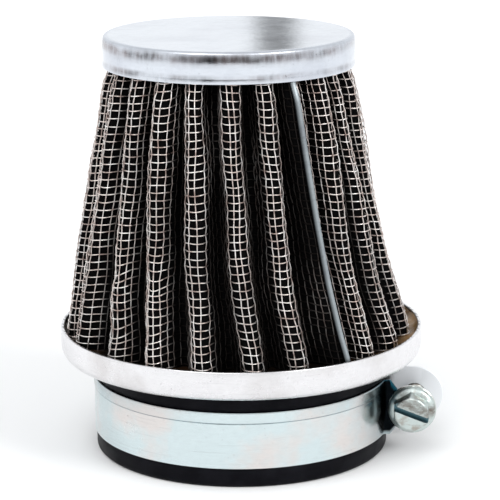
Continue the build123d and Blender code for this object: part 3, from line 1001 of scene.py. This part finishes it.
def band():
    """The whole clamp strip: ear, bend, hoop with a stepped upper edge, bend, ear."""
    full = (band_top - band_bottom) / 2
    step = band_top - BEAD_HEIGHT - band_middle
    rows = []
    for x, y, out, half, bead, thick in band_path():
        k = half / full
        rim = 0.16 * bead
        low = 0.035 * bead
        outline = [
            (thick - 0.14, -full), (thick + low, -full + 0.14), (thick + low, -full + 1.05),
            (thick, -full + 1.3), (thick, -full + 1.6), (thick, 0.0), (thick, step - 0.8),
            (thick, step - 0.4), (thick - 0.3 * rim, step - 0.2), (thick + rim * 0.8, step + 0.02),
            (thick + rim, step + 0.2), (thick + rim, step + 0.6), (thick + rim, full - 0.2),
            (thick + rim - 0.15, full), (0.0, full), (-thick + 0.1, full),
            (-thick, full - 0.15), (-thick, 0.0), (-thick, -full + 0.15), (-thick + 0.1, -full),
        ]
        for off, z in outline:
            rows.append((x + out[0] * off, y + out[1] * off, band_middle + z * k))
    count = len(outline)
    stations_made = len(rows) // count
    faces = grid_faces(stations_made, count, wrap_columns=True)
    faces.append(tuple(range(count - 1, -1, -1)))
    last = (stations_made - 1) * count
    faces.append(tuple(range(last, last + count)))
    piece = make_mesh("clamp_strip", clamp_to_world(rows), faces)
    front = screw_lathe("cutter_a", [(-EAR_INNER - 3, 3.0), (-EAR_INNER + 1, 3.0)], 64)
    rear = screw_lathe("cutter_b", [(EAR_INNER - 1, 2.6), (EAR_INNER + 3, 2.6)], 64)
    piece = cut(piece, front, rear)
    points = points_of(piece)
    made = piece.data.attributes.new("rest", "FLOAT_VECTOR", "POINT")
    made.data.foreach_set("vector", (points * MM).ravel())
    x, y, z = world_to_clamp(points)
    angle = np.degrees(np.arctan2(y, x))
    # painted teal shade and reflection towards the front ear's bend, strongest up high
    front_end = np.clip((angle + 44.0) / 30.0, 0, 1) * (y < -4.8)
    high = np.clip(0.75 + z / 14.0, 0, 1)
    # painted shade on the front ear's outer face, its edges left light
    on_ear = np.clip((x - 33.0) / 0.9, 0, 1) * (y < -5.3)
    # the outline's row 0.2 below the edge still belongs to the face
    edge = np.abs(z) > np.array([ear_half_height(v, full) for v in x]) - 0.1999
    # a painted dark line along the groove under the bead
    groove = np.abs(z - step + 0.2) < 0.16
    # painted shade along the upper edge under the pan, away from the front
    off_front = np.abs(angle + 82)
    under_pan = 0.32 * np.clip((z - 2.5) / 3.5, 0, 1) * np.clip(off_front / 45 - 0.35, 0, 1)
    under_pan = under_pan * (off_front < 90)
    front_end = np.maximum(front_end**1.6 * high, under_pan)
    store(piece, "painted_teal_shade", np.maximum(front_end, 0.55 * groove * (x < 33)))
    store(piece, "shade", on_ear * on_ear * (3 - 2 * on_ear) * ~edge)
    # painted light on the rear ear, with a satin finish
    store(piece, "satin", np.clip((x - 33.0) / 2.0, 0, 1) * (y > 0))
    return piece


strip = band()
strip.data.materials.clear()
strip.data.materials.append(zinc)
hinge_x = -sqrt((BAND_OUTER + BEAD_PROUD) ** 2 - HINGE_OFFSET**2)
hinge = np.array([hinge_x, HINGE_OFFSET, band_middle])
across = np.array([HINGE_OFFSET, SCREW_DISTANCE - hinge[0], 0.0])
across *= HINGE_ZONE / np.linalg.norm(across)
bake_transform(strip)
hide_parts("clamp_band_front", "clamp_band_rear")


# ---------------------------------------------------------------------- screw and nut
def hexagon(flats, corner_cut, turn=0.0):
    """Radius round a hexagon whose corners are held inside a circle."""
    def radius(angles):
        local = (angles - turn + pi / 6) % (pi / 3) - pi / 6
        return np.minimum(flats / 2 / np.cos(local), corner_cut)
    return radius


head_seat = -(EAR_INNER + EAR_THICK + WASHER_THICK)
rings = [
    (head_seat, 0.01), (head_seat, 5.2), (head_seat - 0.12, 5.42), (head_seat - 0.5, 5.45),
    (head_seat - 0.85, 5.36), (head_seat - 1.1, 5.1), (head_seat - 1.35, 4.72),
    (head_seat - 1.5, hexagon(8.0, 4.52)), (head_seat - 1.62, hexagon(7.94, 4.42)),
    (head_seat - 3.3, hexagon(7.9, 4.38)), (head_seat - 3.75, hexagon(7.85, 4.2)),
    (head_seat - 4.15, 3.86), (head_seat - 4.34, 3.66), (head_seat - 4.4, 3.4),
    (head_seat - 4.4, 2.0), (head_seat - 4.4, 0.01),
]
head = screw_lathe("screw_head", rings, 144, closed=False)
slot_half, reach = 0.62, 7.0
corners = []
for along in (head_seat - 6.0, head_seat - 2.9):
    for side, way in ((-1, -1), (1, -1), (1, 1), (-1, 1)):
        u, v = side * reach, way * slot_half
        x = u * cos(SLOT_TURN) - v * sin(SLOT_TURN)
        z = -u * sin(SLOT_TURN) - v * cos(SLOT_TURN)
        corners.append((SCREW_DISTANCE + x, along, band_middle + z))
faces = [(0, 1, 2, 3), (7, 6, 5, 4), (0, 4, 5, 1), (1, 5, 6, 2), (2, 6, 7, 3), (3, 7, 4, 0)]
bar = make_mesh("cutter_slot", clamp_to_world(corners), faces, smooth=False)
head = cut(head, bar)
out, along, height = world_to_clamp(points_of(head))
above = (out - SCREW_DISTANCE) * sin(SLOT_TURN) + height * cos(SLOT_TURN)
# painted shade on the slot's walls and floor
deep = (along > head_seat - 4.3) & (along < head_seat - 2.7)
store(head, "shade", (np.abs(above) < slot_half + 0.02) & deep)
store(head, "satin", np.clip(0.9 - np.abs(above - 1.8) / 2.6, 0, 0.9))
assign(head, screw_metal, body="screw", replaces=["clamp_screw"])


def thread(name, start_y, end_y, pitch, minor, major, segments=40, per_turn=8):
    """A right-hand thread round the screw's axis, with a chamfered end."""
    turns = (end_y - start_y) / pitch
    rows = int(turns * per_turn)
    angles = np.linspace(0, 2 * pi, segments, endpoint=False)
    points = []
    for y in np.linspace(start_y, end_y, rows):
        phase = (y / pitch + angles / (2 * pi)) % 1.0
        r = minor + (major - minor) * np.clip(1.3 - np.abs(phase - 0.5) * 3.4, 0, 1)
        r = np.minimum(r, major - 0.6 + (end_y - y))
        points.append(along_screw(r, angles, np.full(segments, y)))
    faces = grid_faces(rows, segments, wrap_columns=True)
    faces.append(tuple(range(segments - 1, -1, -1)))
    last = (rows - 1) * segments
    faces.append(tuple(range(last, last + segments)))
    return make_mesh(name, clamp_to_world(np.concatenate(points)), faces, sharp=40)


shank = thread(
    "screw_thread", head_seat + 0.05, head_seat + SCREW_LENGTH, THREAD_PITCH, minor=2.0, major=2.44
)
assign(shank, fixing, body="screw")

rings = [
    (-6.0, 3.0), (-6.0, 5.45), (-6.12, 5.6), (-6.68, 5.6), (-6.8, 5.45), (-6.8, 3.0),
]
washer = screw_lathe("flat_washer", rings, 128, closed=True)
assign(washer, fixing, body="clamp_front", replaces=["screw_washer"])

nut_rings = [
    (6.0, 2.8), (6.0, 3.9), (6.3, hexagon(8.0, 4.3)), (6.55, hexagon(8.0, 4.58)),
    (9.45, hexagon(8.0, 4.58)), (9.7, hexagon(8.0, 4.3)), (10.0, 3.8), (10.0, 3.1),
    (9.8, 2.8),
]
nut = screw_lathe("hex_nut", nut_rings, 144, closed=True)
assign(nut, fixing, body="clamp_rear", replaces=["clamp_nut"])

# -------------------------------------------------------------------------- surroundings
floor_mesh = bpy.data.meshes.new("floor")
size = 8.0
floor_mesh.from_pydata(
    [(-size, -size, 0), (size, -size, 0), (size, size, 0), (-size, size, 0)], [], [(0, 1, 2, 3)]
)
floor = bpy.data.objects.new("floor", floor_mesh)
bpy.context.scene.collection.objects.link(floor)
floor_paint = Paint("floor", (0.93, 0.93, 0.93), roughness=0.9)
floor_paint.colour(floor_paint.ramp(floor_paint.noise(3.0), (0.3, 0.925), (0.7, 0.935)))
floor_paint.set(floor_paint.shader, "Specular IOR Level", 0.0)
floor.data.materials.append(floor_paint.material)


def studio():
    """A pale room: bright near the horizon, softer overhead, with two dark screens."""
    world = bpy.data.worlds.new("studio")
    bpy.context.scene.world = world
    world.use_nodes = True
    tree = world.node_tree
    tree.nodes.clear()

    def node(kind, **inputs):
        made = tree.nodes.new(kind)
        for socket, value in inputs.items():
            target = made.inputs[int(socket[1:])] if socket[0] == "_" else made.inputs[socket]
            if isinstance(value, bpy.types.NodeSocket):
                tree.links.new(value, target)
            else:
                target.default_value = value
        return made

    def math(kind, first, second=0.0):
        made = node("ShaderNodeMath", _0=first, _1=second)
        made.operation = kind
        return made.outputs[0]

    def smooth(value, start, stop):
        made = node("ShaderNodeMapRange", _0=value, _1=start, _2=stop, _3=0.0, _4=1.0)
        made.interpolation_type = "SMOOTHSTEP"
        return made.outputs[0]

    way = node("ShaderNodeTexCoord").outputs["Generated"]
    split = node("ShaderNodeSeparateXYZ", _0=way)
    x, y, z = split.outputs
    sky = math("SUBTRACT", HORIZON, math("MULTIPLY", smooth(z, 0.12, 0.8), HORIZON - ZENITH))
    # behind the object: a narrow dark screen that the cap's top shows
    turn = math("DIVIDE", x, math("MAXIMUM", y, 0.001))
    edge = math("MULTIPLY", smooth(turn, BAR[0], BAR[1]), smooth(turn, BAR[3], BAR[2]))
    tall = math("MULTIPLY", smooth(z, 0.03, 0.06), smooth(z, 0.24, 0.15))
    behind = math("MULTIPLY", math("MULTIPLY", edge, tall), 0.75)
    # in front: a low dark screen that the cap's rim and the screw show
    facing = smooth(math("MULTIPLY", y, -1.0), 0.80, 0.95)
    low = math("MULTIPLY", smooth(z, -0.02, 0.02), smooth(z, 0.30, 0.16))
    front = math("MULTIPLY", math("MULTIPLY", facing, low), 0.9)
    # and the whole front side of the room a little dimmer
    dim = math("MULTIPLY", smooth(math("MULTIPLY", y, -1.0), 0.3, 0.9), FRONT_DIM)
    dark = math("MAXIMUM", math("MAXIMUM", behind, front), dim)
    level = math("MULTIPLY", sky, math("SUBTRACT", 1.0, dark))
    seen = node("ShaderNodeLightPath").outputs["Is Camera Ray"]
    strength = node("ShaderNodeMix", _0=seen, _2=level, _3=1.06).outputs[0]
    back = node("ShaderNodeBackground", Color=(0.96, 0.98, 1.0, 1), Strength=strength)
    out = tree.nodes.new("ShaderNodeOutputWorld")
    tree.links.new(back.outputs[0], out.inputs[0])


HORIZON, ZENITH = 1.10, 0.84
BAR = (0.012, 0.022, 0.028, 0.040)
FRONT_DIM = 0.30
studio()


def sunlight(name, place, strength, angle):
    """A soft lamp far away in the direction of a place."""
    data = bpy.data.lights.new(name, "SUN")
    data.energy = strength
    data.angle = radians(angle)
    lamp = bpy.data.objects.new(name, data)
    lamp.location = place
    lamp.rotation_mode = "QUATERNION"
    lamp.rotation_quaternion = (-Vector(place)).to_track_quat("-Z", "Y")
    bpy.context.scene.collection.objects.link(lamp)


sunlight("key", (-0.5, -0.9, 1.1), 1.0, 40.0)
sunlight("fill", (1.0, -0.9, 0.98), 1.0, 20.0)
sunlight("front", (0.35, -1.0, 0.28), 0.35, 70.0)

# ------------------------------------------------------------------------------- camera
camera_data = bpy.data.cameras.new("camera")
camera = bpy.data.objects.new("camera", camera_data)
bpy.context.scene.collection.objects.link(camera)
bpy.context.scene.camera = camera
camera_data.sensor_width = 36.0
camera_data.lens = 163.1
camera_data.clip_start, camera_data.clip_end = 0.01, 50.0
pitch, roll, yaw = radians(13.94), radians(-0.32), radians(0.804)
forward = Vector((sin(yaw) * cos(pitch), cos(yaw) * cos(pitch), -sin(pitch)))
level = Vector((cos(yaw), -sin(yaw), 0.0))
upright = level.cross(forward)
right = level * cos(roll) + upright * sin(roll)
up = upright * cos(roll) - level * sin(roll)
turn = Matrix((right, up, -forward)).transposed().to_4x4()
camera.matrix_world = Matrix.Translation((-0.00498, -0.5101, 0.1727)) @ turn

bpy.context.scene.view_settings.view_transform = "Standard"
bpy.context.scene.view_settings.look = "None"
